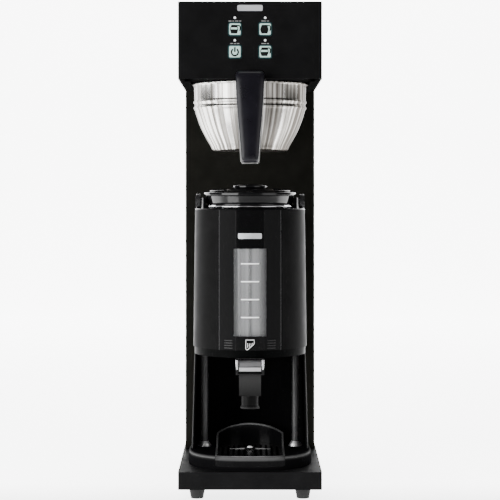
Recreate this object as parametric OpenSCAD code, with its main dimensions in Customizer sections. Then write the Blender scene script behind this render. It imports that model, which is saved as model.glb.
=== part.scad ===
// Countertop filter-coffee brewer with a slide-in brew basket and a thermal server.
// Origin: centre of the footprint at table level. +Z is up and -Y is the front. Millimetres.

/* [Brewer body] */
// Width of the head and of the base
body_w = 205; // [203:1:212]
// Depth from the front face to the back panel
body_d = 400; // [395:5:430]
// Height from the table to the top cover
total_h = 710; // [706:1:740]
// Height of the head
head_h = 110; // [108:1:125]
// Height of the base box
base_h = 25; // [22:1:30]
// Height of the rubber feet
foot_h = 16; // [14:1:22]
// Width of the column
column_w = 200; // [198:1:202]
// Depth of the bay in front of the column
bay_d = 215; // [212:1:222]
// Thickness of the sheet steel
sheet = 1.5; // [1.2:0.1:1.8]
// Radius of the upright corners of the head and base
corner_r = 4; // [3:0.5:6]

/* [Keypad] */
// Side of a square key
key_w = 16; // [14:0.5:17]
// Sideways distance between the two columns of keys
key_pitch_x = 43; // [38:1:50]
// Upright distance between the two rows of keys
key_pitch_z = 32; // [30:1:36]
// Height of the keypad's centre above the head's lower edge
keypad_z = 54.5; // [52:0.5:58]
// How far a key stands out of the front face
key_proud = 0.8; // [0.6:0.1:1.2]

/* [Brew basket] */
// Radius of the basket's rim
rim_r = 89; // [88:0.5:91]
// Radius of the basket's wall under the rim
basket_r = 83; // [81:0.5:84]
// Radius of the basket's floor
basket_floor_r = 54; // [50:1:58]
// Depth of the basket
basket_h = 99; // [97:1:101]
// Thickness of the basket's steel
basket_t = 1; // [0.8:0.1:1.2]
// Length of the handle
handle_l = 131; // [124:1:134]
// Lean of the handle, away from the basket, in degrees
handle_lean = 10; // [8:0.5:11]

/* [Thermal server] */
// Outer radius of the casing at its foot
casing_r_low = 84; // [83:0.5:85]
// Outer radius of the casing at its top
casing_r_high = 81.3; // [81:0.1:82]
// Thickness of the plastic casing
casing_t = 2.5; // [2:0.1:3]
// Height of the casing
casing_h = 201; // [198:1:203]
// Height of the server's stand, from the base to the casing
stand_h = 171; // [169:1:174]
// Half width of the front fascia
fascia_x = 45; // [42:1:47]
// Half width of the gauge window
window_x = 23.5; // [20:0.5:25]
// Half width of the server's moulded base
server_base_x = 90.5; // [88:0.5:92]
// Half depth of the server's moulded base
server_base_y = 91; // [90:0.5:92]
// Height of the server's moulded base
server_base_h = 20; // [19:1:22]
// Half width of the drip tray
tray_x = 50.5; // [46:0.5:54]

/* [Water side] */
// Radius of the hot water tank
tank_r = 72; // [68:1:73]
// Height of the hot water tank
tank_h = 296; // [280:1:300]
// Radius of the inlet thread (G 3/4)
inlet_r = 13.2; // [13.2:0.1:13.2]
// How far the inlet stands out behind the back panel
inlet_reach = 24; // [22:1:30]
// Radius of the bore for the power cable
cable_r = 4.5; // [4:0.5:5]

/* [Hidden] */
$fn = 96;
eps = 0.5;                                   // overshoot of a cutting solid
gap = 0.3;                                   // clearance between neighbouring pieces

handle_out = 4.4;                            // the handle's top clears the front face by this
handle_up = 10;                              // how far the handle rises above the basket's rim
handle_half_w = [20, 19.4, 18.2, 11.4];      // half widths down the handle
handle_screw_at = [20, 92];                  // screws, measured down the handle
bracket_t = 1.6;                             // steel strap behind the handle
handle_tip = 15;                             // thickness of the handle near its lower end
handle_reach = handle_out + (bracket_t + handle_tip) * cos(handle_lean)
    + (handle_l - 4) * sin(handle_lean);     // from the front face to the front of the handle

total_d = handle_reach + body_d + inlet_reach;
front_y = handle_reach - total_d / 2;        // front face of the head and base
back_y = front_y + body_d;                   // outer face of the back panel
column_y = front_y + bay_d;                  // front face of the column
led_rise = 16.3;                             // an indicator's height above the middle of its key
hat_r = 37;                                  // recess in the pan, which holds the spray head
hat_h = 14;
base_z = foot_h + base_h;                    // top of the base, which the server stands on
head_z = total_h - head_h;                   // lower edge of the head
axis_y = front_y + 104;                      // common axis of spray head, basket and server

rim_z = head_z - 1;                          // top of the basket's rim
rail_z = rim_z - 2.2;                        // top of the rail that carries the rim
basket_z = rim_z - basket_h;                 // underside of the basket's floor
bead_z = rim_z - 32;                         // middle of the pressed beads
knee_z = rim_z - 43;                         // where the wall starts to taper
spout_r = 8;                                 // the basket's outlet collar

casing_z = base_z + stand_h;                 // foot of the casing
shoulder_z = casing_z + casing_h;            // top of the casing
collar_h = 11;                               // support collar under the casing
stand_top_z = casing_z - collar_h;
tray_top_z = base_z + server_base_h;
tray_floor = 4;                              // thickness of the server base's floor under the tray
window_low = casing_z + 20;                  // lower edge of the gauge window
window_high = casing_z + 146;                // upper edge of the gauge window
liner_r = 68;                                // outer radius of the vacuum vessel
neck_r = 46;                                 // outer radius of the vessel's neck
pivot_z = shoulder_z + 12.8;                 // bail hinge
pivot_back = 10;                             // the bail hinge is this far behind the server's axis
lever_z = stand_top_z - 6.5;                 // hinge of the faucet lever
lever_y = axis_y - 81;
nozzle_y = axis_y - 61;                      // axis of the faucet's nozzle
nozzle_bore = 8;
sight_r = 2.8;
sight_bore = 1.9;
branch_z = stand_top_z + 7.6;                // branch from the faucet's inlet pipe to the sight tube
lid_r = 68.3;
bail_r = 77.5;                               // radius of the bail's bow about the server's axis
cap_r = 19.6;                                // stem of the brew-through cap
pillar_x = 68;                               // pillars beside the drip tray
pillar_y = 12;

tank_y = (column_y + back_y) / 2;            // axis of the hot water tank
tank_z = 258.5;
tank_top = tank_z + tank_h;
flange_r = tank_r + 12;
heater_x = 25;
shelf_t = 2;
valve_y = back_y - 46;                       // front face of the inlet valve's body
neck_l = 2;                                  // bare neck between the back panel and the inlet's thread
inlet_x = 45;
inlet_z = 110;
gland_x = -55;
gland_z = 110;
board_t = 1.6;
foot_x = 76;
foot_inset = 27;                             // feet and their screws, from the front and back faces

black = [0.03, 0.03, 0.03];
satin = [0.07, 0.07, 0.08];
steel = [0.75, 0.75, 0.74];
chrome = [0.85, 0.85, 0.87];
grey = [0.3, 0.3, 0.31];
rubber = [0.12, 0.12, 0.12];
brass = [0.78, 0.62, 0.32];
key_tint = [0.78, 0.92, 0.88];
board_green = [0.1, 0.35, 0.18];
clear = [0.9, 0.92, 0.95, 0.4];
foam = [0.8, 0.8, 0.78];

// ---------- shared shapes ----------

// Box between two corners.
module block(low, high) {
    translate(low) cube(high - low);
}

// Rectangle centred on x, from y0 to y1, with round corners.
module round_plan(w, y0, y1, r) {
    translate([-w / 2, y0 + r]) square([w, y1 - y0 - 2 * r]);
    translate([-w / 2 + r, y0]) square([w - 2 * r, y1 - y0]);
    for (x = [-w / 2 + r, w / 2 - r], y = [y0 + r, y1 - r]) translate([x, y]) circle(r);
}

module pipe(r, bore, h) {
    difference() {
        cylinder(r = r, h = h);
        translate([0, 0, -eps]) cylinder(r = bore, h = h + 2 * eps);
    }
}

// Quarter bend of a pipe. It starts at the origin going up and ends going along +Y.
module bend(r, bore, turn) {
    translate([0, turn, 0]) rotate([0, -90, 180]) rotate_extrude(angle = 90)
        translate([turn, 0]) difference() {
            circle(r);
            circle(bore);
        }
}

// Pan-head screw with its head's underside at the origin and its shank going down.
module screw(shank_r, length) {
    cylinder(r = 2 * shank_r, h = 1.2 * shank_r);
    translate([0, 0, -length]) cylinder(r = shank_r, h = length + 0.01);
}

module at_server() {
    translate([0, axis_y, 0]) children();
}

// Outline of the server's base, a rounded square that follows a superellipse.
function squircle(a, b, power, steps) = [
    for (i = [0 : steps - 1])
        let (t = 360 * i / steps, c = cos(t), s = sin(t))
        [a * sign(c) * pow(abs(c), 2 / power), b * sign(s) * pow(abs(s), 2 / power)]
];

// ---------- brewer: case ----------

module foot_places() {
    for (x = [-foot_x, foot_x], y = [front_y + foot_inset, back_y - foot_inset])
        translate([x, y, 0]) children();
}

module base_shell() {
    color(satin) difference() {
        translate([0, 0, foot_h]) linear_extrude(base_h)
            round_plan(body_w, front_y, back_y, corner_r);
        translate([0, 0, foot_h - eps]) linear_extrude(base_h - sheet + eps)
            round_plan(body_w - 2 * sheet, front_y + sheet, back_y - sheet, corner_r - sheet);
        block([-40, column_y + 30, base_z - 5], [40, back_y - 40, base_z + 5]);
    }
}

module base_plate() {
    inset = sheet + gap;
    color(satin) difference() {
        translate([0, 0, foot_h]) linear_extrude(sheet)
            round_plan(body_w - 2 * inset, front_y + inset, back_y - inset, 2);
        foot_places() translate([0, 0, foot_h - eps]) cylinder(r = 2.7, h = sheet + 2 * eps);
    }
}

module feet() {
    color(rubber) foot_places() difference() {
        cylinder(r1 = 9, r2 = 12, h = foot_h);
        translate([0, 0, -eps]) cylinder(r = 5.4, h = 6 + eps);
        cylinder(r = 2.7, h = foot_h + eps);
    }
}

// Screw positions on the back panel and the top cover.
module panel_screw_places() {
    for (x = [-88, 88], z = [base_z + 22, (base_z + head_z) / 2, head_z - 22])
        translate([x, back_y, z]) rotate([-90, 0, 0]) children();
}

module cover_screw_places() {
    for (x = [-85, 85], y = [front_y + 60, back_y - 30])
        translate([x, y, total_h]) children();
}

module case_screws() {
    color(steel) {
        foot_places() translate([0, 0, 6]) mirror([0, 0, 1]) screw(2.5, 14);
        panel_screw_places() screw(2, 6);
        cover_screw_places() screw(2, 8);
    }
}

module column_shell() {
    flange = 12;
    color(satin) difference() {
        block([-column_w / 2, column_y, base_z], [column_w / 2, back_y - sheet, head_z]);
        block(
            [-column_w / 2 + sheet, column_y + sheet, base_z - eps],
            [column_w / 2 - sheet, back_y - 2 * sheet, head_z + eps]
        );
        block(
            [-column_w / 2 + flange, column_y + sheet, base_z - eps],
            [column_w / 2 - flange, back_y, head_z + eps]
        );
        panel_screw_places() translate([0, 0, -9]) cylinder(r = 2.2, h = 10);
    }
}

module back_panel() {
    slot_w = 90;
    color(satin) difference() {
        block([-column_w / 2, back_y - sheet, base_z], [column_w / 2, back_y, head_z]);
        for (z = [base_z + 250 : 14 : base_z + 250 + 8 * 14])
            block([-slot_w / 2, back_y - 5, z], [slot_w / 2, back_y + 5, z + 3]);
        panel_screw_places() translate([0, 0, -5]) cylinder(r = 2.2, h = 10);
        translate([inlet_x, back_y - 5, inlet_z]) rotate([-90, 0, 0])
            cylinder(r = inlet_r + gap, h = 10);
        translate([gland_x, back_y - 5, gland_z]) rotate([-90, 0, 0]) cylinder(r = 10.3, h = 10);
    }
}

// Runs its children at each key: column is -1 or 1, and row is 1 for the upper one.
module key_places() {
    for (column = [-1, 1], row = [-1, 1])
        translate([column * key_pitch_x / 2, front_y, head_z + keypad_z + row * key_pitch_z / 2])
            children();
}

module key_plan(side) {
    translate([0, side / 2]) mirror([0, 1]) round_plan(side, 0, side, 2);
}

module head_shell() {
    color(satin) difference() {
        translate([0, 0, head_z]) linear_extrude(head_h - sheet)
            round_plan(body_w, front_y, back_y, corner_r);
        translate([0, 0, head_z - eps]) linear_extrude(head_h + 2 * eps)
            round_plan(body_w - 2 * sheet, front_y + sheet, back_y - sheet, corner_r - sheet);
        key_places() translate([0, 5, 0]) rotate([90, 0, 0]) linear_extrude(10)
            key_plan(key_w + 2 * gap);
        key_places() translate([0, 5, led_rise]) rotate([90, 0, 0]) cylinder(r = 1.9, h = 10);
    }
}

module head_pan() {
    inset = sheet + 0.1;
    color(satin) difference() {
        union() {
            translate([0, 0, head_z]) linear_extrude(sheet)
                round_plan(body_w - 2 * inset, front_y + inset, back_y - inset, 2.4);
            at_server() translate([0, 0, head_z]) cylinder(r = hat_r + sheet, h = hat_h + sheet);
        }
        at_server() translate([0, 0, head_z - eps]) cylinder(r = hat_r, h = hat_h + eps);
        at_server() translate([0, 0, head_z]) cylinder(r = 6.3, h = hat_h + 5);
        block(
            [-column_w / 2 + 15, column_y + 10, head_z - 5],
            [column_w / 2 - 15, back_y - 20, head_z + 5]
        );
    }
}

module top_cover() {
    lip = sheet + 0.2;
    color(satin) difference() {
        union() {
            translate([0, 0, total_h - sheet]) linear_extrude(sheet)
                round_plan(body_w, front_y, back_y, corner_r);
            translate([0, 0, total_h - 8]) linear_extrude(8 - sheet / 2) difference() {
                round_plan(body_w - 2 * lip, front_y + lip, back_y - lip, 2.3);
                round_plan(body_w - 2 * lip - 3, front_y + lip + 1.5, back_y - lip - 1.5, 1);
            }
        }
        cover_screw_places() translate([0, 0, -5]) cylinder(r = 2.2, h = 10);
    }
}

// Two Z-shaped rails. The basket's rim hangs on their inner flanges.
module basket_rails() {
    inner_x = basket_r + 2.5;
    web_x = rim_r + 3.5;
    outer_x = body_w / 2 - 3 * sheet;
    y0 = front_y + 3;
    y1 = column_y - 1;
    color(steel) for (side = [0, 1]) mirror([side, 0, 0]) {
        block([inner_x, y0, rail_z - sheet], [web_x + sheet, y1, rail_z]);
        block([web_x, y0, rail_z - sheet], [web_x + sheet, y1, head_z]);
        block([web_x, y0, head_z - sheet], [outer_x, y1, head_z]);
    }
}

// ---------- brewer: water side ----------

module spray_head() {
    plate_t = 1.5;
    color(steel) at_server() translate([0, 0, head_z + 0.5]) {
        difference() {
            union() {
                cylinder(r = 34, h = 11);
                cylinder(r = 6, h = 36);
                translate([0, 0, hat_h + sheet - 0.5]) cylinder(r = 11, h = 5, $fn = 6);
            }
            translate([0, 0, plate_t]) cylinder(r = 32.5, h = 8);
            translate([0, 0, plate_t]) cylinder(r = 4, h = 60);
            for (ring_r = [9, 18, 27], a = [0 : 360 / (ring_r * 2 / 3) : 359])
                rotate(a) translate([ring_r, 0, -eps]) cylinder(r = 1, h = plate_t + 2 * eps);
        }
    }
}

module spray_tube() {
    bore = 4.6;
    outer = 6;
    turn = 20;
    low_z = head_z + 36.5;
    high_z = head_z + 62;
    port_y = tank_y - 40;
    color(rubber) {
        at_server() translate([0, 0, low_z]) pipe(outer, bore, high_z - turn - low_z);
        at_server() translate([0, 0, high_z - turn]) bend(outer, bore, turn);
        translate([0, axis_y + turn, high_z]) rotate([-90, 0, 0])
            pipe(outer, bore, port_y - axis_y - 2 * turn);
        translate([0, port_y, high_z - turn]) mirror([0, 1, 0]) bend(outer, bore, turn);
        translate([0, port_y, tank_top + 20]) pipe(outer, bore, high_z - turn - tank_top - 20);
    }
}

module at_tank() {
    translate([0, tank_y, 0]) children();
}

module bolt_circle() {
    for (a = [22.5 : 45 : 359]) rotate(a) translate([tank_r + 7, 0, 0]) children();
}

module tank_body() {
    wall = 1;
    color(steel) at_tank() difference() {
        union() {
            translate([0, 0, tank_z]) cylinder(r = tank_r, h = tank_h);
            translate([0, 0, tank_top - 2]) cylinder(r = flange_r, h = 2);
            translate([inlet_x, 32, tank_z - 14]) cylinder(r = 6, h = 15);
        }
        translate([0, 0, tank_z + wall]) cylinder(r = tank_r - wall, h = tank_h);
        translate([inlet_x, 32, tank_z - 15]) cylinder(r = 4.5, h = 20);
        bolt_circle() translate([0, 0, tank_top - 5]) cylinder(r = 2.7, h = 10);
    }
}

module tank_gasket() {
    color(rubber) at_tank() difference() {
        translate([0, 0, tank_top]) pipe(flange_r, tank_r - 2, 2);
        bolt_circle() translate([0, 0, tank_top - eps]) cylinder(r = 2.7, h = 5);
    }
}

module tank_lid() {
    color(steel) at_tank() difference() {
        union() {
            translate([0, 0, tank_top + 2]) cylinder(r = flange_r, h = 3);
            translate([0, -40, tank_top + 4]) cylinder(r = 6, h = 15.5);
        }
        translate([0, -40, tank_top]) cylinder(r = 4.6, h = 30);
        for (x = [-heater_x, heater_x])
            translate([x, 0, tank_top]) cylinder(r = 4.1, h = 10);
        translate([0, 35, tank_top]) cylinder(r = 3.1, h = 10);
        bolt_circle() translate([0, 0, tank_top]) cylinder(r = 2.7, h = 10);
    }
}

module tank_bolts() {
    color(steel) at_tank() bolt_circle() {
        translate([0, 0, tank_top + 5]) cylinder(r = 4.6, h = 3.5, $fn = 6);
        translate([0, 0, tank_top - 8]) cylinder(r = 2.5, h = 13.01);
        translate([0, 0, tank_top - 6]) cylinder(r = 4.6, h = 4, $fn = 6);
    }
}

// Sheathed loop that hangs from the tank's lid, with two threaded ends.
module heating_element() {
    low = tank_z + 60;
    color(steel) at_tank() {
        for (x = [-heater_x, heater_x]) translate([x, 0, 0]) {
            translate([0, 0, low]) cylinder(r = 4, h = tank_top + 20 - low);
            translate([0, 0, tank_top + 5]) cylinder(r = 8, h = 5, $fn = 6);
        }
        translate([0, 0, low]) rotate([-90, 0, 0]) rotate_extrude(angle = 180)
            translate([heater_x, 0]) circle(4);
    }
}

module temp_probe() {
    color(steel) at_tank() translate([0, 35, 0]) {
        translate([0, 0, tank_top - 90]) cylinder(r = 3, h = 110);
        translate([0, 0, tank_top + 5]) cylinder(r = 7, h = 6, $fn = 6);
    }
}

module limit_thermostat() {
    color(grey) at_tank() translate([-42, -24, tank_top + 5]) {
        cylinder(r = 8, h = 6);
        for (x = [-4, 4]) translate([x - 0.4, -2.5, 5.9]) cube([0.8, 5, 8]);
    }
}

module tank_insulation() {
    color(foam) at_tank() translate([0, 0, tank_z + 4])
        pipe(flange_r - 1, tank_r + gap, tank_h - 16);
}

module tank_shelf() {
    half = column_w / 2 - sheet - gap;
    low = [-half, column_y + sheet + gap, tank_z - shelf_t];
    high = [half, back_y - 2 * sheet - gap, tank_z];
    color(satin) difference() {
        union() {
            block(low, high);
            for (side = [0, 1]) mirror([side, 0, 0])
                block([half - shelf_t, low.y, tank_z - 22], [half, high.y, tank_z]);
        }
        at_tank() translate([inlet_x, 32, tank_z - 5]) cylinder(r = 6.5, h = 10);
    }
}

module inlet_valve() {
    body = 30;
    turn = 14;
    port_y = tank_y + 32;
    color(brass) difference() {
        union() {
            block(
                [inlet_x - body / 2, valve_y, inlet_z - body / 2],
                [inlet_x + body / 2, valve_y + body, inlet_z + body / 2]
            );
            translate([inlet_x, valve_y + body - eps, inlet_z]) rotate([-90, 0, 0])
                cylinder(r = inlet_r - 1.2, h = back_y + neck_l - valve_y - body + 2 * eps);
            translate([inlet_x, back_y + neck_l, inlet_z]) rotate([-90, 0, 0])
                cylinder(r = inlet_r, h = inlet_reach - neck_l);
            translate([inlet_x, back_y - sheet - 3, inlet_z]) rotate([-90, 0, 0])
                cylinder(r = 18, h = 3, $fn = 6);
        }
        translate([inlet_x, valve_y - eps, inlet_z]) rotate([-90, 0, 0])
            cylinder(r = 4.5, h = 90);
    }
    color(brass) translate([inlet_x, port_y, inlet_z]) {
        translate([0, turn, 0]) rotate([-90, 0, 0]) pipe(6, 4.5, valve_y - port_y - turn);
        translate([0, 0, turn]) mirror([0, 0, 1]) bend(6, 4.5, turn);
        translate([0, 0, turn]) pipe(6, 4.5, 12);
    }
}

module valve_coil() {
    low_z = inlet_z + 15;
    color(black) translate([inlet_x, valve_y + 15, 0]) {
        translate([-16, -14, low_z]) cube([32, 28, 34]);
        translate([-4, -3, low_z + 34]) cube([8, 6, 8]);
    }
}

module fill_tube() {
    color(foam) translate([inlet_x, tank_y + 32, inlet_z + 14])
        pipe(7.5, 6.05, tank_z - 4 - inlet_z - 14);
}

// ---------- brewer: electrics ----------

module control_board() {
    y = front_y + 9;
    half_w = 44;
    low = head_z + keypad_z - 34;
    high = head_z + keypad_z + 36;
    color(board_green) block([-half_w, y, low], [half_w, y + board_t, high]);
    color(black) key_places() block([-3, 5.8, -3], [3, 9, 3]);
    color(steel) for (x = [-38, 38], z = [low + 6, high - 6])
        translate([x, front_y + sheet, z]) rotate([-90, 0, 0]) cylinder(r = 2.5, h = 7.5);
}

module power_board() {
    y = column_y + 12;
    low = base_z + 30;
    color(board_green) block([-60, y, low], [60, y + board_t, low + 130]);
    color(black) for (z = [low + 15, low + 50]) block([-50, y + board_t, z], [-22, y + 18, z + 24]);
    color(steel) block([10, y + board_t, low + 20], [40, y + 30, low + 80]);
    color(foam) for (i = [0 : 4])
        block([-40 + 14 * i, y + board_t, low + 106], [-28 + 14 * i, y + 16, low + 122]);
    color(steel) for (x = [-52, 52], z = [low + 8, low + 122])
        translate([x, column_y + sheet, z]) rotate([-90, 0, 0]) cylinder(r = 3, h = 12 - sheet);
}

module cable_gland() {
    color(black) translate([gland_x, back_y, gland_z]) rotate([-90, 0, 0]) difference() {
        union() {
            translate([0, 0, -10]) cylinder(r = 10, h = 12);
            translate([0, 0, -sheet - 5]) cylinder(r = 14, h = 5, $fn = 6);
            cylinder(r = 14, h = 5, $fn = 6);
            translate([0, 0, 5]) cylinder(r1 = 12.5, r2 = 9, h = 15);
        }
        translate([0, 0, -11]) cylinder(r = cable_r, h = 40);
    }
}

module led_lenses() {
    color(foam) key_places() translate([0, 9, led_rise]) rotate([90, 0, 0])
        cylinder(r = 1.6, h = 9.3);
}

// One key: a cap in the front face, with a flange behind it that keeps it in.
module key(column, row) {
    flange_y = sheet + 0.2;
    color(key_tint)
        translate([column * key_pitch_x / 2, front_y, head_z + keypad_z + row * key_pitch_z / 2]) {
            translate([0, flange_y + 0.5, 0]) rotate([90, 0, 0])
                linear_extrude(flange_y + 0.5 + key_proud) key_plan(key_w);
            translate([0, flange_y + 1.2, 0]) rotate([90, 0, 0]) linear_extrude(1.2)
                key_plan(key_w + 3);
            translate([-2, flange_y + 1, -2]) cube([4, 1.9, 4]);
        }
}

// ---------- brew basket ----------

module basket_shell() {
    t = basket_t;
    floor_z = basket_z;
    low_r = basket_floor_r + 4.5;
    wall = [
        [basket_r, rim_z - 2], [basket_r - 0.5, bead_z + 7.5],
        [basket_r + 0.5, bead_z + 6], [basket_r + 0.5, bead_z + 3.5], [basket_r - 0.8, bead_z + 2],
        [basket_r - 0.8, bead_z - 0.5], [basket_r + 0.2, bead_z - 2], [basket_r + 0.2, bead_z - 4.5],
        [basket_r - 1.2, bead_z - 6], [basket_r - 2.2, knee_z], [low_r, floor_z + 6],
        [low_r - 1.5, floor_z + 2], [basket_floor_r - 1, floor_z]
    ];
    inner = [for (i = [len(wall) - 1 : -1 : 0]) [wall[i].x - t, wall[i].y + (i > 10 ? t : 0)]];
    color(steel) at_server() {
        difference() {
            rotate_extrude() polygon(concat(
                [[rim_r, rim_z], [rim_r, rim_z - 2]], wall,
                [[spout_r, floor_z], [spout_r, floor_z - 1.5], [spout_r - 1.5, floor_z - 1.5],
                 [spout_r - 1.5, floor_z + t]],
                [for (p = inner) if (p.y < rim_z - 2.1) p], [[basket_r - t, rim_z]]
            ));
            for (x = [-7, 7]) translate([x, -basket_r - 3, rim_z - 14]) rotate([-90, 0, 0])
                cylinder(r = 2.2, h = 6);
        }
    }
}

// Frame of the handle: origin at the top of its rear face, local Z along it, leaning forward.
module at_handle() {
    translate([0, front_y - handle_out, rim_z + handle_up]) rotate([-handle_lean, 0, 0])
        mirror([0, 0, 1]) children();
}

module handle_bar(half_w, depth, along) {
    r = 5;
    translate([0, -bracket_t - depth, along]) for (x = [-half_w + r, half_w - r])
        for (y = [r, depth - 3]) translate([x, y, 0]) cylinder(r = y == r ? r : 3, h = 0.1);
}

module basket_handle() {
    color(black) at_handle() difference() {
        union() {
            hull($fn = 32) {
                handle_bar(handle_half_w[0] - 3, 12, 0);
                handle_bar(handle_half_w[0], 17, 6);
                handle_bar(handle_half_w[1], 18, 36);
                handle_bar(handle_half_w[2], 17, 54);
            }
            hull($fn = 32) {
                handle_bar(handle_half_w[2], 17, 54);
                handle_bar(handle_half_w[3] + 0.6, handle_tip, handle_l - 4);
                handle_bar(handle_half_w[3] - 2, handle_tip - 4, handle_l);
            }
        }
        for (along = handle_screw_at)
            translate([0, 1, along]) rotate([90, 0, 0]) cylinder(r = 2.1, h = 12);
    }
}

// Steel strap: a tongue on the basket's wall, an arm forward, and a spine behind the handle.
module handle_bracket() {
    spine_w = 22;
    spine_top = 14.5;  // half widths of the spine, hidden above and showing beside the handle below
    spine_middle = 18.3;
    spine_tip = 13.6;
    arm_z = rim_z - 21;
    spine_y = front_y - handle_out - (rim_z + handle_up - arm_z) * tan(handle_lean);
    color(steel) difference() {
        union() {
            at_handle() rotate([90, 0, 0]) linear_extrude(bracket_t) polygon([
                [-spine_top, 12], [spine_top, 12], [spine_middle, handle_l / 2],
                [spine_tip, handle_l - 3], [spine_tip - 3, handle_l + 1.2],
                [3 - spine_tip, handle_l + 1.2], [-spine_tip, handle_l - 3],
                [-spine_middle, handle_l / 2]
            ]);
            block(
                [-spine_w / 2, spine_y - 1, arm_z],
                [spine_w / 2, axis_y - basket_r - 1.4, arm_z + bracket_t]
            );
            intersection() {
                at_server() translate([0, 0, arm_z]) pipe(basket_r + 1.6, basket_r + 0.6, 13);
                block([-spine_w / 2, front_y - 5, arm_z - 1], [spine_w / 2, axis_y, arm_z + 15]);
            }
        }
        at_server() for (x = [-7, 7]) translate([x, -basket_r - 6, arm_z + 7])
            rotate([-90, 0, 0]) cylinder(r = 2.2, h = 12);
        at_handle() for (along = handle_screw_at)
            translate([0, 3, along]) rotate([90, 0, 0]) cylinder(r = 2.1, h = 8);
    }
}

module handle_screws() {
    color(steel) {
        at_handle() for (along = handle_screw_at)
            translate([0, 0, along]) rotate([-90, 0, 0]) screw(2, 9);
        at_server() for (x = [-7, 7]) translate([x, -basket_r - 1.7, rim_z - 14])
            rotate([90, 0, 0]) screw(2, 6);
    }
}

// Wire rack that keeps the filter paper off the basket's floor: rings on top of radial wires.
module filter_rack() {
    r = 48;
    wire = 1.2;
    z = basket_z + 7.5;
    color(steel) at_server() translate([0, 0, z]) {
        for (ring_r = [16, 32, r]) rotate_extrude() translate([ring_r, 1.5]) circle(wire);
        for (a = [0 : 45 : 359]) rotate(a) {
            translate([10, 0, 0]) rotate([0, 90, 0]) cylinder(r = wire, h = r - 10);
            translate([r - 6, 0, basket_z + basket_t - z])
                cylinder(r = 1.1, h = z - basket_z - basket_t);
        }
    }
}

// ---------- thermal server: stand ----------

module base_plan(grow) {
    polygon(squircle(server_base_x + grow, server_base_y + grow, 2.6, 96));
}

// Drip tray's outline: straight sides, a round back and a front that follows the base.
module tray_plan(shrink) {
    arc_r = 62 - shrink;
    intersection() {
        union() {
            translate([0, -2]) circle(arc_r);
            translate([-tray_x, -server_base_y]) square([2 * tray_x, server_base_y + 30]);
        }
        translate([-tray_x + shrink, -server_base_y - 1]) square([2 * (tray_x - shrink), 200]);
        base_plan(-shrink);
    }
}

// Solid of the base's height over a plan, with a top edge that steps in.
module moulding(grow, step_in) {
    rise = [0, server_base_h - 4, server_base_h - 1.5, server_base_h];
    inset = [0, 0.4 * step_in, step_in];
    for (i = [0 : 2]) translate([0, 0, base_z + rise[i]])
        linear_extrude(rise[i + 1] - rise[i]) intersection() {
            base_plan(grow - inset[i]);
            children();
        }
}

module server_base() {
    color(black) at_server() difference() {
        moulding(0, 3) square(2 * server_base_y + 20, center = true);
        translate([0, 0, base_z + tray_floor]) linear_extrude(server_base_h) union() {
            tray_plan(0);
            translate([-tray_x, -server_base_y - 5]) square([2 * tray_x, 30]);
        }
        translate([0, 0, base_z - eps]) linear_extrude(1.5 + eps) difference() {
            base_plan(-12);
            square([30, 400], center = true);
        }
        for (side = [-1, 1]) translate([side * pillar_x, pillar_y, tray_top_z - 12])
            cylinder(r = 3.2, h = 20);
    }
}

// Shallow tray with a back lip that rises like a splash guard.
module drip_tray() {
    low = base_z + tray_floor;
    lip_rise = 28;
    start_y = -5;
    end_y = 62;
    color(black) at_server() difference() {
        union() {
            moulding(-gap, 1.8) tray_plan(gap);
            intersection() {
                translate([0, 0, low + gap]) linear_extrude(60) tray_plan(gap);
                rotate([90, 0, 90]) translate([0, 0, -60]) linear_extrude(120) polygon([
                    [start_y, low + gap], [start_y, tray_top_z],
                    [end_y, tray_top_z + lip_rise], [end_y, low + gap]
                ]);
            }
        }
        block([-tray_x, -server_base_y, base_z - 1], [tray_x, server_base_y, low + gap]);
        translate([0, 0, low + 2]) linear_extrude(80) tray_plan(3);
        block([3 - tray_x, -server_base_y - 5, low + 2.5], [tray_x - 3, 1.4 - server_base_y, low + 8]);
    }
}

module drip_grid() {
    slot = 3.2;
    pitch = 7;
    z = tray_top_z - 3;
    color(grey) at_server() {
        difference() {
            translate([0, 0, z]) linear_extrude(1.5) tray_plan(3 + gap);
            for (i = [-5 : 5]) if (i != 0)
                translate([i * 8 - slot / 2, -70, z - eps])
                    cube([slot, 70 - 2 * abs(i) + 40 - 1.2 * pow(abs(i), 1.4), 5]);
            translate([0, -10, z - eps]) cylinder(r = 2.6, h = 5);
        }
        translate([0, -10, z + 1.5]) difference() {
            cylinder(r1 = 9, r2 = 6, h = 2.5);
            translate([0, 0, -1]) cylinder(r = 2.6, h = 5);
        }
        for (x = [-30, 30], y = [-60, 25])
            translate([x + 4, y, base_z + tray_floor + 2]) cylinder(r = 2, h = z - base_z - 5.9);
    }
}

module stand_shell() {
    t = 2.5;
    low_r = 86.5;
    high_r = 82.5;
    open_angle = 70;
    color(black) at_server() difference() {
        rotate_extrude() polygon([
            [low_r - t, tray_top_z], [low_r, tray_top_z], [high_r, stand_top_z],
            [high_r - t, stand_top_z]
        ]);
        translate([0, 0, tray_top_z - eps]) linear_extrude(stand_h) polygon([
            [0, 20], [200 * sin(open_angle), -200 * cos(open_angle)],
            [200, -200], [-200, -200], [-200 * sin(open_angle), -200 * cos(open_angle)]
        ]);
    }
}

module pillar_places() {
    at_server() for (side = [-1, 1]) translate([side * pillar_x, pillar_y, 0]) children();
}

module stand_pillars() {
    color(grey) pillar_places() {
        translate([0, 0, tray_top_z]) cylinder(r = 5.5, h = stand_top_z - tray_top_z);
        translate([0, 0, tray_top_z - 10]) cylinder(r = 3, h = 10.01);
    }
}

module pillar_caps() {
    color(chrome) pillar_places() translate([0, 0, tray_top_z]) difference() {
        union() {
            cylinder(r = 10.8, h = 1.6);
            translate([0, 0, 1.6]) cylinder(r1 = 10, r2 = 8.8, h = 2.4);
            translate([0, 0, 4]) cylinder(r1 = 8.8, r2 = 6.5, h = 3.6);
        }
        translate([0, 0, -eps]) cylinder(r = 5.6, h = 20);
    }
}

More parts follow.
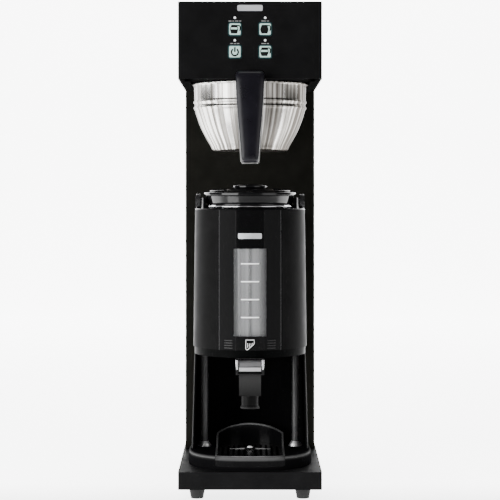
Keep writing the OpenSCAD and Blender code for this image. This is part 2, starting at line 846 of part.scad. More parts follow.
module server_collar() {
    t = 3;
    r = 82;
    color(satin) at_server() difference() {
        translate([0, 0, stand_top_z]) cylinder(r = r, h = collar_h);
        translate([0, 0, stand_top_z + t]) cylinder(r = r - t, h = collar_h);
        translate([0, 0, stand_top_z - eps]) cylinder(r = 8.5, h = 10);
    }
}

// ---------- thermal server: casing ----------

function casing_r(z) =
    casing_r_low + (casing_r_high - casing_r_low) * (z - casing_z) / casing_h;

// Part of the tapered casing between two heights, grown outwards by proud.
module casing_band(z0, z1, proud, t) {
    rotate_extrude() polygon([
        [casing_r(z0) + proud - t, z0], [casing_r(z0) + proud, z0],
        [casing_r(z1) + proud, z1], [casing_r(z1) + proud - t, z1]
    ]);
}

module server_casing() {
    color(satin) at_server() difference() {
        casing_band(casing_z, shoulder_z, 0, casing_t);
        block([-fascia_x, -100, casing_z - 1], [fascia_x, 0, shoulder_z + 1]);
    }
}

module server_fascia() {
    x = fascia_x - 0.2;
    color(black) at_server() difference() {
        intersection() {
            casing_band(casing_z, shoulder_z, 0.6, casing_t);
            block([-x, -100, casing_z - 1], [x, 0, shoulder_z + 1]);
        }
        block([-window_x, -100, window_low], [window_x, 0, window_high]);
    }
}

module gauge_lens() {
    x = window_x - 0.15;
    color(clear) at_server() intersection() {
        casing_band(window_low + 0.15, window_high - 0.15, 0.3, 2);
        block([-x, -100, window_low], [x, 0, window_high]);
    }
}

module gauge_reflector() {
    color(steel) at_server() intersection() {
        translate([0, 0, window_low - 4]) pipe(73, 72, window_high - window_low + 8);
        block([-window_x, -100, 0], [window_x, 0, total_h]);
    }
}

// Upright tube behind the gauge lens, with a branch along the bottom to the faucet's inlet pipe.
module sight_tube() {
    y = -75.9;
    turn = 4;
    color(clear) at_server() translate([0, y, branch_z]) {
        translate([0, 0, turn]) pipe(sight_r, sight_bore, window_high + 12 - branch_z - turn);
        translate([0, 0, turn]) mirror([0, 0, 1]) bend(sight_r, sight_bore, turn);
        translate([0, turn, 0]) rotate([-90, 0, 0]) pipe(sight_r, sight_bore, -y - turn - 9);
    }
}

// One wall of the vacuum vessel, from its bottom port to its mouth.
module vessel_wall(r, low, shoulder, neck, top, t, hole) {
    rotate_extrude() polygon([
        [hole, low], [r - 8, low], [r, low + 8], [r, shoulder - 16], [neck + 4, shoulder],
        [neck, shoulder + 4], [neck, top], [neck - t, top], [neck - t, shoulder + 3],
        [neck + 3, shoulder - t], [r - t, shoulder - 16.5], [r - t, low + 8.5],
        [r - 8.5, low + t], [hole, low + t]
    ]);
}

// Outer and inner walls, welded together at the mouth and at the bottom port.
module vacuum_vessel() {
    top = shoulder_z + 2.8;
    port_r = 8.6;
    color(steel) at_server() {
        vessel_wall(liner_r, casing_z + 2, shoulder_z - 13, neck_r, top, 0.8, port_r);
        vessel_wall(liner_r - 4, casing_z + 7, shoulder_z - 17, neck_r - 2, top, 0.8, port_r);
        translate([0, 0, top - 0.8]) pipe(neck_r - 0.2, neck_r - 2.6, 0.8);
        translate([0, 0, casing_z + 2]) pipe(port_r + 1, port_r - 0.2, 5.8);
    }
}

module server_shoulder() {
    lug_in = 69.3;
    lug_out = 73;
    lug_top = pivot_z + 5;
    color(black) at_server() {
        rotate_extrude() polygon([
            [neck_r + 0.5, shoulder_z], [casing_r_high, shoulder_z],
            [casing_r_high, shoulder_z + 1], [casing_r_high - 1, shoulder_z + 2],
            [lug_in, shoulder_z + 2], [lug_in - 1.5, shoulder_z + 4], [neck_r + 0.5, shoulder_z + 4]
        ]);
        intersection() {
            translate([0, 0, shoulder_z + 1.5]) pipe(lug_out, lug_in, lug_top - shoulder_z - 1.5);
            block([-100, -24, shoulder_z], [100, 18, lug_top + 1]);
        }
        for (side = [0, 1]) mirror([side, 0, 0])
            translate([lug_in + 1, pivot_back, pivot_z]) rotate([0, 90, 0])
                cylinder(r = 3, h = 10);
    }
}

module lid_trim_ring() {
    color(chrome) at_server() rotate_extrude() polygon([
        [50, shoulder_z + 4], [67.5, shoulder_z + 4], [67.5, shoulder_z + 5.5],
        [66.2, shoulder_z + 7], [50, shoulder_z + 7]
    ]);
}

// Insulated lid with stepped rings that rise to the middle, and a plug in the neck.
module server_lid() {
    z = shoulder_z + 7;
    color(black) at_server() rotate_extrude() polygon([
        [cap_r + 0.4, z - 24], [neck_r - 3.4, z - 24], [neck_r - 3.4, z - 16], [neck_r - 5, z - 15],
        [neck_r - 5, z - 11], [neck_r - 3.4, z - 10], [neck_r - 3.4, z], [62.5, z], [65.6, z + 14],
        [lid_r, z + 14.6], [lid_r, z + 18], [lid_r - 1.8, z + 19.2], [62, z + 20.2],
        [61.4, z + 19.4], [60.2, z + 19.4], [59.6, z + 21], [53.5, z + 23.4], [52.3, z + 22.6],
        [30, z + 23.4], [28.6, z + 24.4], [cap_r + 0.4, z + 24.4]
    ]);
}

module lid_gasket() {
    z = shoulder_z + 7;
    color(rubber) at_server() rotate_extrude() polygon([
        [neck_r - 4.9, z - 14.8], [neck_r - 3.1, z - 14.2], [neck_r - 3.1, z - 11.8],
        [neck_r - 4.9, z - 11.2]
    ]);
}

// Cap in the lid's middle. It lifts out for brewing through the lid.
module brew_cap() {
    z = shoulder_z + 7;
    color(black) at_server() rotate_extrude() polygon([
        [0, z + 4], [cap_r - 2, z + 4], [cap_r, z + 8], [cap_r, z + 24.6], [24.6, z + 24.6],
        [25.4, z + 26], [25.4, z + 28], [23.6, z + 30], [21, z + 30.4], [20, z + 29], [0, z + 29]
    ]);
}

module bail_handle() {
    wire = 3.5;
    hub_r = 10.5;
    hub_in = 73.5;
    hub_out = 81;
    start = 16;
    color(black) at_server() {
        translate([0, 0, pivot_z]) rotate(start) rotate_extrude(angle = 180 - 2 * start)
            translate([bail_r, 0]) circle(wire);
        for (side = [0, 1]) mirror([side, 0, 0]) difference() {
            union() {
                translate([hub_in, pivot_back, pivot_z]) rotate([0, 90, 0])
                    cylinder(r = hub_r, h = hub_out - hub_in);
                block(
                    [hub_in, pivot_back, pivot_z - wire], [hub_out - 2, pivot_back + 14, pivot_z + wire]
                );
            }
            translate([hub_in - 1, pivot_back, pivot_z]) rotate([0, 90, 0])
                cylinder(r = 3.06, h = 20);
        }
    }
}

// ---------- thermal server: faucet ----------

module faucet_body() {
    half_w = 20.5;
    top = stand_top_z;
    low = top - 24;
    pipe_z = top - 12;
    color(black) at_server() difference() {
        union() {
            block([-half_w, -86, low], [half_w, -44, top]);
            translate([0, -46, pipe_z]) rotate([-90, 0, 0]) cylinder(r = 7.5, h = 46);
            translate([0, 0, pipe_z]) sphere(r = 7.5);
            translate([0, 0, pipe_z]) cylinder(r = 7.5, h = casing_z + 1 - pipe_z);
            translate([0, -12, branch_z]) rotate([-90, 0, 0]) cylinder(r = 4, h = 12);
        }
        translate([0, -13, branch_z]) rotate([-90, 0, 0]) cylinder(r = sight_r + 0.05, h = 4.2);
        translate([0, -13, branch_z]) rotate([-90, 0, 0]) cylinder(r = sight_bore, h = 13);
        translate([0, -61, low - 1]) cylinder(r = nozzle_bore, h = top - 5 - low);
        translate([0, -56, pipe_z]) rotate([-90, 0, 0]) cylinder(r = 4, h = 56);
        translate([0, 0, pipe_z]) cylinder(r = 4, h = 60);
        block([-half_w + 3.5, -90, low + 2], [half_w - 3.5, -75, top - 1]);
    }
    color(chrome) at_server() for (side = [0, 1]) mirror([side, 0, 0])
        block([half_w - 3.5, -94, low + 9], [half_w - 1, -85, top - 2]);
    color(steel) translate([-half_w + 2, lever_y, lever_z]) rotate([0, 90, 0])
        cylinder(r = 1.9, h = 2 * half_w - 4);
}

// Outlet under the faucet's body: a round tube with a ring at its mouth, in a square cover.
module faucet_nozzle() {
    half_w = 15.8;
    top = stand_top_z - 24;
    low = stand_top_z - 74;
    color(grey) at_server() difference() {
        union() {
            translate([0, -61, low]) cylinder(r = 13, h = top - low);
            translate([0, -61, low]) cylinder(r = 14.2, h = 3);
            block([-half_w, -78, top - 31], [half_w, -54, top]);
        }
        translate([0, -61, low - 1]) cylinder(r = nozzle_bore, h = top - low + 2);
    }
}

// Thumb lever: a hub on the hinge pin, and a pad that curves forward and down to a lip.
module faucet_lever() {
    half_w = 15.6;
    color(steel) translate([0, lever_y, lever_z]) rotate([90, 0, 90])
        translate([0, 0, -half_w]) linear_extrude(2 * half_w) difference() {
            union() {
                circle(4.2);
                polygon([
                    [0, 4], [-4, 3.4], [-8, 0.6], [-11, -2.6], [-12.6, -6], [-13, -11.6],
                    [-10.8, -11.6], [-10.2, -6.6], [-7.6, -3.6], [-4, -2.6], [0, -3.4]
                ]);
            }
            circle(1.95);
        }
}

// Plunger in the nozzle's bore. The lever lifts its seal off the seat.
module valve_stem() {
    low = stand_top_z - 42;
    color(rubber) translate([0, nozzle_y, low]) {
        cylinder(r = 7.6, h = 4);
        translate([0, 0, 3.9]) cylinder(r = 3, h = 22);
        translate([0, 0, 20]) cylinder(r = 6, h = 2);
    }
}

// ---------- nodes ----------

base_shell();
base_plate();
feet();
case_screws();
column_shell();
back_panel();
head_shell();
head_pan();
top_cover();
basket_rails();
spray_head();
spray_tube();
tank_body();
tank_lid();
tank_gasket();
tank_bolts();
heating_element();
temp_probe();
limit_thermostat();
tank_insulation();
tank_shelf();
inlet_valve();
valve_coil();
fill_tube();
control_board();
power_board();
cable_gland();
led_lenses();
key(-1, 1);  // key_start
key(1, 1);  // key_full_jug
key(-1, -1);  // key_power
key(1, -1);  // key_half_jug
basket_shell();
basket_handle();
handle_bracket();
handle_screws();
filter_rack();
server_base();
stand_shell();
stand_pillars();
pillar_caps();
server_collar();
server_casing();
server_fascia();
gauge_lens();
gauge_reflector();
sight_tube();
vacuum_vessel();
server_shoulder();
lid_trim_ring();
server_lid();
lid_gasket();
brew_cap();
bail_handle();
faucet_body();
faucet_nozzle();
faucet_lever();
valve_stem();
drip_tray();
drip_grid();
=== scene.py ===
"""Looks of a countertop coffee brewer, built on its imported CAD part. Lengths are in metres."""

import math

import bpy
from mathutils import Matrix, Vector


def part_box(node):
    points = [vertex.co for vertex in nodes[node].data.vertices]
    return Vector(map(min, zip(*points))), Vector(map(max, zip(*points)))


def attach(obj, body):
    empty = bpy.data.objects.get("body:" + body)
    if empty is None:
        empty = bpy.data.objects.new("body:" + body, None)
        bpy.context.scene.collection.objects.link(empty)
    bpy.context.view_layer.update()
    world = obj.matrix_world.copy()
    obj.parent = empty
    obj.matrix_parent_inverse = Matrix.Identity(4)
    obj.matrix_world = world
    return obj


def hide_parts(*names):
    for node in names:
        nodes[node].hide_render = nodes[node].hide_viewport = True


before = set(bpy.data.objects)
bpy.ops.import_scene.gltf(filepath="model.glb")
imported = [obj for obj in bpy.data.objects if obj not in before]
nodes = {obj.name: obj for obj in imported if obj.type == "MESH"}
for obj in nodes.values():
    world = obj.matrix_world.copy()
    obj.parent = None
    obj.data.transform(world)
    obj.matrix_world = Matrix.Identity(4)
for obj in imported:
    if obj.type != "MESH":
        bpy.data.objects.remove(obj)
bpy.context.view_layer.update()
MM = 0.001


# ---------------------------------------------------------------- where things are


def low(node):
    """Lowest corner of a node's box."""
    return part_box(node)[0]


def high(node):
    """Highest corner of a node's box."""
    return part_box(node)[1]


AXIS = (low("vacuum_vessel").y + high("vacuum_vessel").y) / 2  # y of the server, basket and spray head
FRONT = low("head_shell").y  # front face of the head and the base
KEY_FACE = low("key_start").y
HEAD_Z = low("head_shell").z
BASE_Z = high("base_shell").z
CASING_LOW = low("server_casing").z
CASING_HIGH = high("server_casing").z
CASING_R_LOW = high("server_casing").x
CASING_R_HIGH = high("server_shoulder").x
RIM_Z = high("basket_shell").z
RIM_R = high("basket_shell").x
KNEE_Z = RIM_Z - 43 * MM  # foot of the basket's upright wall
BOWL_Z = RIM_Z - 99 * MM  # underside of the basket


def casing_r(z):
    """Outer radius of the tapered casing at height z."""
    t = (z - CASING_LOW) / (CASING_HIGH - CASING_LOW)
    return CASING_R_LOW + t * (CASING_R_HIGH - CASING_R_LOW)


# ---------------------------------------------------------------- materials


class Shader:
    """Node tree of one material, with short calls for the nodes used here."""

    def __init__(self, name):
        self.material = bpy.data.materials.new(name)
        self.material.use_nodes = True
        self.tree = self.material.node_tree
        self.tree.nodes.clear()
        out = self.tree.nodes.new("ShaderNodeOutputMaterial")
        self.bsdf = self.tree.nodes.new("ShaderNodeBsdfPrincipled")
        self.link(self.bsdf.outputs[0], out.inputs["Surface"])
        self.coord = self.tree.nodes.new("ShaderNodeTexCoord").outputs["Object"]

    def link(self, a, b):
        self.tree.links.new(a, b)

    def place(self):
        """Object coordinates, split into X, Y and Z."""
        split = self.tree.nodes.new("ShaderNodeSeparateXYZ")
        self.link(self.coord, split.inputs[0])
        return split.outputs

    def math(self, operation, a, b=0.0):
        """One calculation on sockets or numbers."""
        node = self.tree.nodes.new("ShaderNodeMath")
        node.operation = operation
        for socket, value in zip(node.inputs, (a, b)):
            if isinstance(value, (int, float)):
                socket.default_value = value
            else:
                self.link(value, socket)
        return node.outputs[0]

    def noise(self, scale, detail=3.0, stretch=(1, 1, 1), at=None):
        """Noise whose coordinates are multiplied by stretch along each axis."""
        mapping = self.tree.nodes.new("ShaderNodeMapping")
        mapping.inputs["Scale"].default_value = stretch
        self.link(at or self.coord, mapping.inputs["Vector"])
        noise = self.tree.nodes.new("ShaderNodeTexNoise")
        noise.inputs["Scale"].default_value = scale
        noise.inputs["Detail"].default_value = detail
        self.link(mapping.outputs[0], noise.inputs["Vector"])
        return noise.outputs["Fac"]

    def spread(self, fac, a, b, start=0.3, end=0.7):
        """Turns the range from start to end into the range from a to b, and stops there."""
        spread = self.tree.nodes.new("ShaderNodeMapRange")
        for name, value in (("From Min", start), ("From Max", end), ("To Min", a), ("To Max", b)):
            spread.inputs[name].default_value = value
        self.link(fac, spread.inputs["Value"])
        return spread.outputs["Result"]

    def colour(self, fac, stops):
        """Base colour along a ramp of (position, colour) stops."""
        ramp = self.tree.nodes.new("ShaderNodeValToRGB")
        points = ramp.color_ramp.elements
        while len(points) < len(stops):
            points.new(0.5)
        for point, (at, colour) in zip(points, stops):
            point.position = at
            point.color = (*colour, 1)
        self.link(fac, ramp.inputs["Fac"])
        self.into("Base Color", ramp.outputs["Color"])

    def bump(self, fac, distance, strength):
        """Fine relief."""
        bump = self.tree.nodes.new("ShaderNodeBump")
        bump.inputs["Distance"].default_value = distance
        bump.inputs["Strength"].default_value = strength
        self.link(fac, bump.inputs["Height"])
        self.into("Normal", bump.outputs[0])

    def set(self, **values):
        """Uniform values, with the spaces of a socket's name written as underscores."""
        for name, value in values.items():
            self.bsdf.inputs[name.replace("_", " ")].default_value = value

    def into(self, socket, value):
        """Feeds a node's output into one of the surface's sockets."""
        self.link(value, self.bsdf.inputs[socket])


def grey(value):
    return (value, value, value)


def shade(colour, factor):
    """A colour made darker or paler."""
    return tuple(min(1.0, c * factor) for c in colour)


def surface(name, colour, rough, shine=0.5, mottle=0.18, grain=900, depth=0.02 * MM, glow=0.0):
    """Base finish: a mottled colour, an uneven roughness and a fine grain.

    shine is the specular level, mottle the share by which the colour varies, grain and depth the scale
    and height of the bumps, and glow the strength of a white emission.
    """
    s = Shader(name)
    broad = s.noise(38, 4)
    fine = s.noise(grain, 2)
    s.colour(broad, [(0.3, shade(colour, 1 - mottle)), (0.7, shade(colour, 1 + mottle))])
    s.into("Roughness", s.spread(broad, rough * 0.88, rough * 1.12))
    s.bump(fine, depth, 0.6)
    s.set(Specular_IOR_Level=shine, Emission_Color=(1, 1, 1, 1), Emission_Strength=glow)
    return s.material


def brushed(name, colour, rough, direction=(1, 1, 1)):
    """Metal with fine brush lines. A small value in direction draws the lines out along that axis."""
    s = Shader(name)
    lines = s.noise(700, 3, direction)
    broad = s.noise(26, 3)
    s.colour(broad, [(0.3, shade(colour, 0.9)), (0.7, shade(colour, 1.06))])
    s.into("Roughness", s.spread(lines, rough * 0.75, rough * 1.3))
    s.bump(lines, 0.02 * MM, 0.5)
    s.set(Metallic=1.0)
    return s.material


def basket_material():
    """Pressed and polished steel: upright streaks of uneven polish over fine brush lines, with painted shade
    on its right side and on its flanks, and darker towards the bottom. The darkest tones of the streaks also
    paint the reflection of dark surroundings.
    """
    s = Shader("basket_steel")
    at = s.place()
    away = s.math("SUBTRACT", at["Y"], AXIS)
    around = s.math("ARCTAN2", at["X"], s.math("MULTIPLY", away, -1.0))
    unrolled = s.tree.nodes.new("ShaderNodeCombineXYZ")
    s.link(around, unrolled.inputs["X"])
    s.link(at["Z"], unrolled.inputs["Z"])
    foot_tone = s.spread(at["Z"], -0.07, 0.0, BOWL_Z, BOWL_Z + 30 * MM)
    # painted shade: the steel is paler on the left and darker on the right
    painted_side_shade = s.spread(at["X"], 0.05, -0.085, -50 * MM, 30 * MM)
    # painted shade: darker on the flanks, away from the front
    painted_flank_shade = s.spread(s.math("ABSOLUTE", around), 0.0, -0.09, 0.75, 1.35)
    tone = s.math("ADD", s.math("ADD", foot_tone, painted_side_shade), painted_flank_shade)
    streaks_and_painted_shade = s.math("ADD", s.noise(13, 4, (1, 1, 0.25), unrolled.outputs[0]), tone)
    lines = s.noise(120, 3, (1, 1, 0.2), unrolled.outputs[0])
    s.colour(streaks_and_painted_shade, [(0.34, (0.085, 0.078, 0.07)), (0.46, (0.27, 0.258, 0.24)), (0.6, (0.68, 0.67, 0.65))])
    s.into("Roughness", s.spread(streaks_and_painted_shade, 0.36, 0.2))
    s.bump(lines, 0.02 * MM, 0.5)
    s.set(Metallic=1.0, Specular_Tint=(0.45, 0.45, 0.45, 1))
    return s.material


def gauge_material():
    """Drawn aluminium behind the gauge window, with upright lines, a painted highlight down its middle and
    painted shade that darkens it from left to right.
    """
    s = Shader("gauge_metal")
    at = s.place()
    # painted highlight: a brighter strip down the middle, where the sight tube shines
    middle = s.spread(s.math("ABSOLUTE", at["X"]), 0.3, 0.0, 1 * MM, 7 * MM)
    # painted shade: paler on the left, darker on the right
    painted_side_shade = s.spread(at["X"], 0.06, -0.06, -18 * MM, 18 * MM)
    drawn_lines_and_painted_shade = s.math("ADD", s.noise(110, 1, (1, 1, 0.002)), painted_side_shade)
    broad = s.math("ADD", middle, drawn_lines_and_painted_shade)
    lines = s.noise(1500, 2, (1, 1, 0.004))
    s.colour(broad, [(0.35, (0.11, 0.111, 0.113)), (0.6, (0.34, 0.344, 0.348)), (0.9, (0.58, 0.585, 0.59))])
    s.into("Roughness", s.spread(lines, 0.3, 0.5))
    s.bump(lines, 0.03 * MM, 0.6)
    s.set(Metallic=0.85)
    return s.material


def fascia_material():
    """Satin dark grey, with a gloss black band down its middle and painted highlight lines along its side
    edges.
    """
    s = Shader("fascia_band")
    away = s.math("ABSOLUTE", s.place()["X"])
    side = s.spread(away, 0.0, 1.0, 20.2 * MM, 21.2 * MM)
    # painted highlight: paler lines along the fascia's side edges
    edge = s.spread(away, 0.0, 0.5, 43.6 * MM, 44.4 * MM)
    tone = s.math("ADD", s.math("MULTIPLY", side, 0.5), edge)
    s.colour(tone, [
        (0.0, (0.0018, 0.0018, 0.002)), (0.5, (0.0068, 0.0068, 0.007)), (1.0, (0.045, 0.045, 0.046)),
    ])
    s.into("Roughness", s.spread(side, 0.1, 0.44, 0.0, 1.0))
    s.bump(s.math("MULTIPLY", s.noise(1700, 2), side), 0.06 * MM, 0.6)
    s.into("Specular IOR Level", s.spread(side, 0.2, 0.01, 0.0, 1.0))
    return s.material


def stand_base_material():
    """Gloss black moulding with a painted highlight band along its stepped shoulder, and no specular
    reflection.
    """
    s = Shader("stand_base_gloss")
    up = s.spread(s.place()["Z"], 0.0, 1.0, BASE_Z + 12 * MM, BASE_Z + 20 * MM)
    # painted highlight: a paler band along the stepped shoulder, brightest at its middle
    s.colour(up, [
        (0.2, (0.004, 0.004, 0.0044)), (0.45, grey(0.02)), (0.55, grey(0.1)), (0.8, grey(0.05)),
        (0.95, (0.003, 0.003, 0.0034)),
    ])
    s.into("Roughness", s.spread(s.noise(38), 0.14, 0.2))
    s.bump(s.noise(300, 2), 0.006 * MM, 0.6)
    s.set(Specular_IOR_Level=0.0)
    return s.material


def tray_material():
    """Gloss black moulding with a satin raised rim that carries a painted grey highlight, strongest in the
    middle, and a painted highlight band along the top of its front.
    """
    rise = 28 / 67  # slope of the rim behind the middle of the tray
    s = Shader("tray_gloss")
    at = s.place()
    away = s.math("SUBTRACT", at["Y"], AXIS - 5 * MM)
    edge = s.math("MAXIMUM", s.math("MULTIPLY", away, rise), 0.0)
    over = s.math("SUBTRACT", at["Z"], edge)
    rim = s.spread(over, 0.0, 1.0, BASE_Z + 18.6 * MM, BASE_Z + 20 * MM)
    middle = s.spread(s.math("ABSOLUTE", at["X"]), 1.0, 0.25, 10 * MM, 35 * MM)
    # painted highlight along the top of the raised rim, uneven and strongest in the middle
    painted_rim_highlight = s.math("MULTIPLY", s.math("MULTIPLY", rim, middle), s.spread(s.noise(90), 0.7, 1.0))
    # painted highlight band along the top of the tray's front
    ahead = s.spread(away, 0.26, 0.0, -80 * MM, -74 * MM)
    up = s.spread(at["Z"], 0.0, 1.0, BASE_Z + 12.5 * MM, BASE_Z + 15.5 * MM)
    painted_front_highlight = s.math("MULTIPLY", ahead, up)
    s.colour(s.math("MAXIMUM", painted_rim_highlight, painted_front_highlight), [(0.0, (0.003, 0.003, 0.0034)), (1.0, grey(0.24))])
    s.into("Roughness", s.spread(rim, 0.14, 0.4, 0.0, 1.0))
    s.bump(s.noise(300, 2), 0.006 * MM, 0.6)
    s.set(Specular_IOR_Level=0.05)
    return s.material


def nozzle_material():
    """Satin black with painted shade below the nozzle's square cover and a painted highlight along the lip
    at its mouth.
    """
    s = Shader("nozzle_satin")
    foot = low("faucet_nozzle").z
    up = s.spread(s.place()["Z"], 0.0, 1.0, foot, foot + 50 * MM)
    # painted highlight on the lip at the mouth, then painted shade below the square cover
    s.colour(up, [
        (0.03, grey(0.014)), (0.07, grey(0.003)), (0.36, grey(0.004)), (0.4, grey(0.01)), (0.9, grey(0.028)),
    ])
    s.into("Roughness", s.spread(s.noise(38), 0.3, 0.4))
    s.bump(s.noise(800, 2), 0.02 * MM, 0.6)
    s.set(Specular_IOR_Level=0.04)
    return s.material


def lever_material():
    """Satin metal with light and shade painted across it: a darker bottom edge, a painted highlight on the
    lip below a dark line that is painted like the shade in a groove, and a paler top.
    """
    s = Shader("lever_metal")
    up = s.spread(s.place()["Z"], 0.0, 1.0, low("faucet_lever").z, high("faucet_lever").z)
    lines = s.noise(700, 3, (0.1, 1, 1))
    # painted light and shade: dark bottom edge, bright lip, dark groove line, paler top
    s.colour(up, [
        (0.02, grey(0.3)), (0.1, (0.86, 0.86, 0.87)), (0.34, (0.8, 0.8, 0.81)), (0.4, grey(0.12)),
        (0.48, (0.44, 0.44, 0.45)), (0.95, (0.62, 0.62, 0.63)),
    ])
    s.into("Roughness", s.spread(lines, 0.3, 0.48))
    s.bump(lines, 0.02 * MM, 0.5)
    s.set(Metallic=1.0)
    return s.material


def lens_material():
    """Clear plastic with a faint uneven haze."""
    s = Shader("clear_lens")
    haze = s.noise(60, 3)
    s.into("Roughness", s.spread(haze, 0.02, 0.08))
    s.colour(haze, [(0.3, (0.3, 0.31, 0.32)), (0.7, grey(0.36))])
    s.set(Alpha=0.1, Specular_IOR_Level=0.5)
    return s.material


# case and what is in it
COAT = surface("powder_coat", (0.0058, 0.0058, 0.006), 0.5, 0.006, grain=1500, depth=0.04 * MM)
COAT_WARM = surface("powder_coat_column", (0.0068, 0.0067, 0.0056), 0.55, 0.01, grain=1500, depth=0.04 * MM)
INSIDE = surface("inner_sheet", grey(0.004), 0.6, 0.0)
RUBBER = surface("foot_rubber", grey(0.016), 0.6, 0.06, grain=500, depth=0.08 * MM)
STEEL = brushed("brushed_steel", grey(0.6), 0.3, (1, 1, 0.04))
SCREW = brushed("screw_steel", (0.55, 0.55, 0.56), 0.28)
BRASS = brushed("machined_brass", (0.7, 0.52, 0.24), 0.3)
BOARD = surface("circuit_board", (0.01, 0.09, 0.035), 0.4, mottle=0.3)
FOAM = surface("tank_foam", (0.7, 0.68, 0.62), 0.9, mottle=0.1, grain=400, depth=0.4 * MM)
SILICONE = surface("silicone_tube", (0.7, 0.7, 0.68), 0.4, mottle=0.06)
DARK = surface("moulded_dark", (0.02, 0.02, 0.022), 0.5)

# keys and prints
# painted halo: a dark teal that stands for the keys' colour spilling round them
PAINTED_KEY_HALO = surface("key_painted_halo", (0.006, 0.03, 0.032), 0.3)
KEY = surface("key_cap", (0.5, 0.71, 0.65), 0.35, mottle=0.05, depth=0.01 * MM)
INK = surface("key_ink", grey(0.004), 0.5, 0.1, mottle=0.3)
CAPTION = surface("grey_print", grey(0.2), 0.5, mottle=0.04)
# white print that also glows: a painted highlight
GLOWING_WHITE_PRINT = surface("white_print_painted_glow", grey(0.92), 0.5, mottle=0.04, glow=0.35)
LENS_DOT = surface("indicator", (0.9, 0.92, 0.92), 0.25, mottle=0.04, grain=700, depth=0.01 * MM, glow=0.35)
BADGE = brushed("badge_metal", (0.66, 0.67, 0.69), 0.5, (0.03, 1, 1))

# basket
BASKET = basket_material()
HANDLE = surface("handle_satin", (0.0045, 0.004, 0.0066), 0.3, 0.2, grain=1300, depth=0.03 * MM)
STRAP = brushed("handle_strap", (0.6, 0.6, 0.59), 0.4, (1, 1, 0.1))

# server
GLOSS = surface("gloss_black", (0.003, 0.003, 0.0034), 0.1, 0.3, grain=300, depth=0.006 * MM)
SHOULDER = surface("shoulder_black", (0.003, 0.003, 0.0034), 0.2, 0.02, grain=300, depth=0.006 * MM)
SHELL = surface("stand_black", (0.0022, 0.0022, 0.0024), 0.6, 0.003, grain=300, depth=0.006 * MM)
CASING = surface("casing_grain", (0.0054, 0.0054, 0.0055), 0.46, 0.01, grain=1700, depth=0.06 * MM)
COLLAR = surface("collar_grain", (0.0018, 0.002, 0.002), 0.42, 0.01, grain=1700, depth=0.06 * MM)
PILLAR = surface("pillar_satin", (0.016, 0.016, 0.0163), 0.32, 0.15, grain=800)
# a paler copy of pillar_satin: the pillars are painted lighter to make up for the shade they stand in
PILLAR_PAINTED_LIGHTER = surface("pillar_tube_painted_lighter", (0.03, 0.03, 0.0305), 0.3, 0.3, grain=800)
LUG = surface("bail_satin", (0.014, 0.014, 0.0145), 0.24, grain=800, depth=0.01 * MM)
CAP = brushed("pillar_cap_metal", grey(0.85), 0.34)
CHROME = brushed("chrome", (0.8, 0.8, 0.82), 0.07, (1, 1, 0.2))
# near-white satin that paints the highlight of the chrome strainer
PAINTED_WHITE_STRAINER = surface("strainer_painted_highlight", grey(0.92), 0.3, 0.6, mottle=0.06)
# pale grey that paints the reflection along the two long ribs
PAINTED_REFLECTION_RIB = surface("strainer_rib_painted_reflection", grey(0.2), 0.4, 0.3, mottle=0.1)
GRID = surface("grid_satin", grey(0.008), 0.22)
GAUGE = gauge_material()
FASCIA = fascia_material()
STAND_BASE = stand_base_material()
TRAY = tray_material()
NOZZLE = nozzle_material()
LEVER = lever_material()
LENS = lens_material()


# ---------------------------------------------------------------- mesh helpers


def add_mesh(name, verts, faces, material, body, angle=32):
    """Smooth piece that rides on a body. Edges that turn by more than angle degrees stay sharp."""
    mesh = bpy.data.meshes.new(name)
    mesh.from_pydata([tuple(v) for v in verts], [], faces)
    mesh.validate()
    mesh.materials.append(material)
    mesh.shade_smooth()
    mesh.set_sharp_from_angle(angle=math.radians(angle))
    ob = bpy.data.objects.new(name, mesh)
    bpy.context.scene.collection.objects.link(ob)
    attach(ob, body)
    return ob


def bevel(ob, width):
    """Rounds a piece's sharp edges."""
    edges = ob.modifiers.new("edges", "BEVEL")
    edges.width = width
    edges.segments = 2
    edges.limit_method = "ANGLE"
    edges.angle_limit = math.radians(40)


def rounded(corners, steps=5):
    """Closed outline from (a, b, radius) corners, each turned into an arc."""
    out = []
    count = len(corners)
    for i, (a, b, radius) in enumerate(corners):
        here = Vector((a, b))
        back = Vector(corners[i - 1][:2]) - here
        ahead = Vector(corners[(i + 1) % count][:2]) - here
        if radius <= 0:
            out.append((a, b))
            continue
        turn = back.angle(ahead)
        reach = min(radius / math.tan(turn / 2), back.length * 0.49, ahead.length * 0.49)
        radius = reach * math.tan(turn / 2)
        centre = here + (back.normalized() + ahead.normalized()).normalized() * (radius / math.sin(turn / 2))
        start = here + back.normalized() * reach - centre
        end = here + ahead.normalized() * reach - centre
        sweep = start.angle_signed(end)
        for k in range(steps + 1):
            angle = -sweep * k / steps
            c, s = math.cos(angle), math.sin(angle)
            out.append((centre.x + start.x * c - start.y * s, centre.y + start.x * s + start.y * c))
    return out


def plate(cx, cz, w, h, r):
    """Outline of a rectangle with round corners."""
    x0, x1, z0, z1 = cx - w / 2, cx + w / 2, cz - h / 2, cz + h / 2
    return rounded([(x0, z0, r), (x1, z0, r), (x1, z1, r), (x0, z1, r)])


def arc(cx, cy, r, start, end, steps):
    """Points along an arc, between two angles in degrees."""
    angles = [math.radians(start + (end - start) * i / steps) for i in range(steps + 1)]
    return [(cx + r * math.cos(a), cy + r * math.sin(a)) for a in angles]


def prism(n, at=0):
    """Faces of a prism whose two outlines of n points follow each other from point number at."""
    caps = [tuple(range(at, at + n))[::-1], tuple(range(at + n, at + 2 * n))]
    return caps + [(at + k, at + (k + 1) % n, at + n + (k + 1) % n, at + n + k) for k in range(n)]


def slab(name, outline, a, b, axis, material, body):
    """Outline extruded from a to b, a (y, z) outline along X or an (x, z) outline along Y."""
    verts = [(w, u, v) if axis == "X" else (u, w, v) for w in (a, b) for u, v in outline]
    return add_mesh(name, verts, prism(len(outline)), material, body)


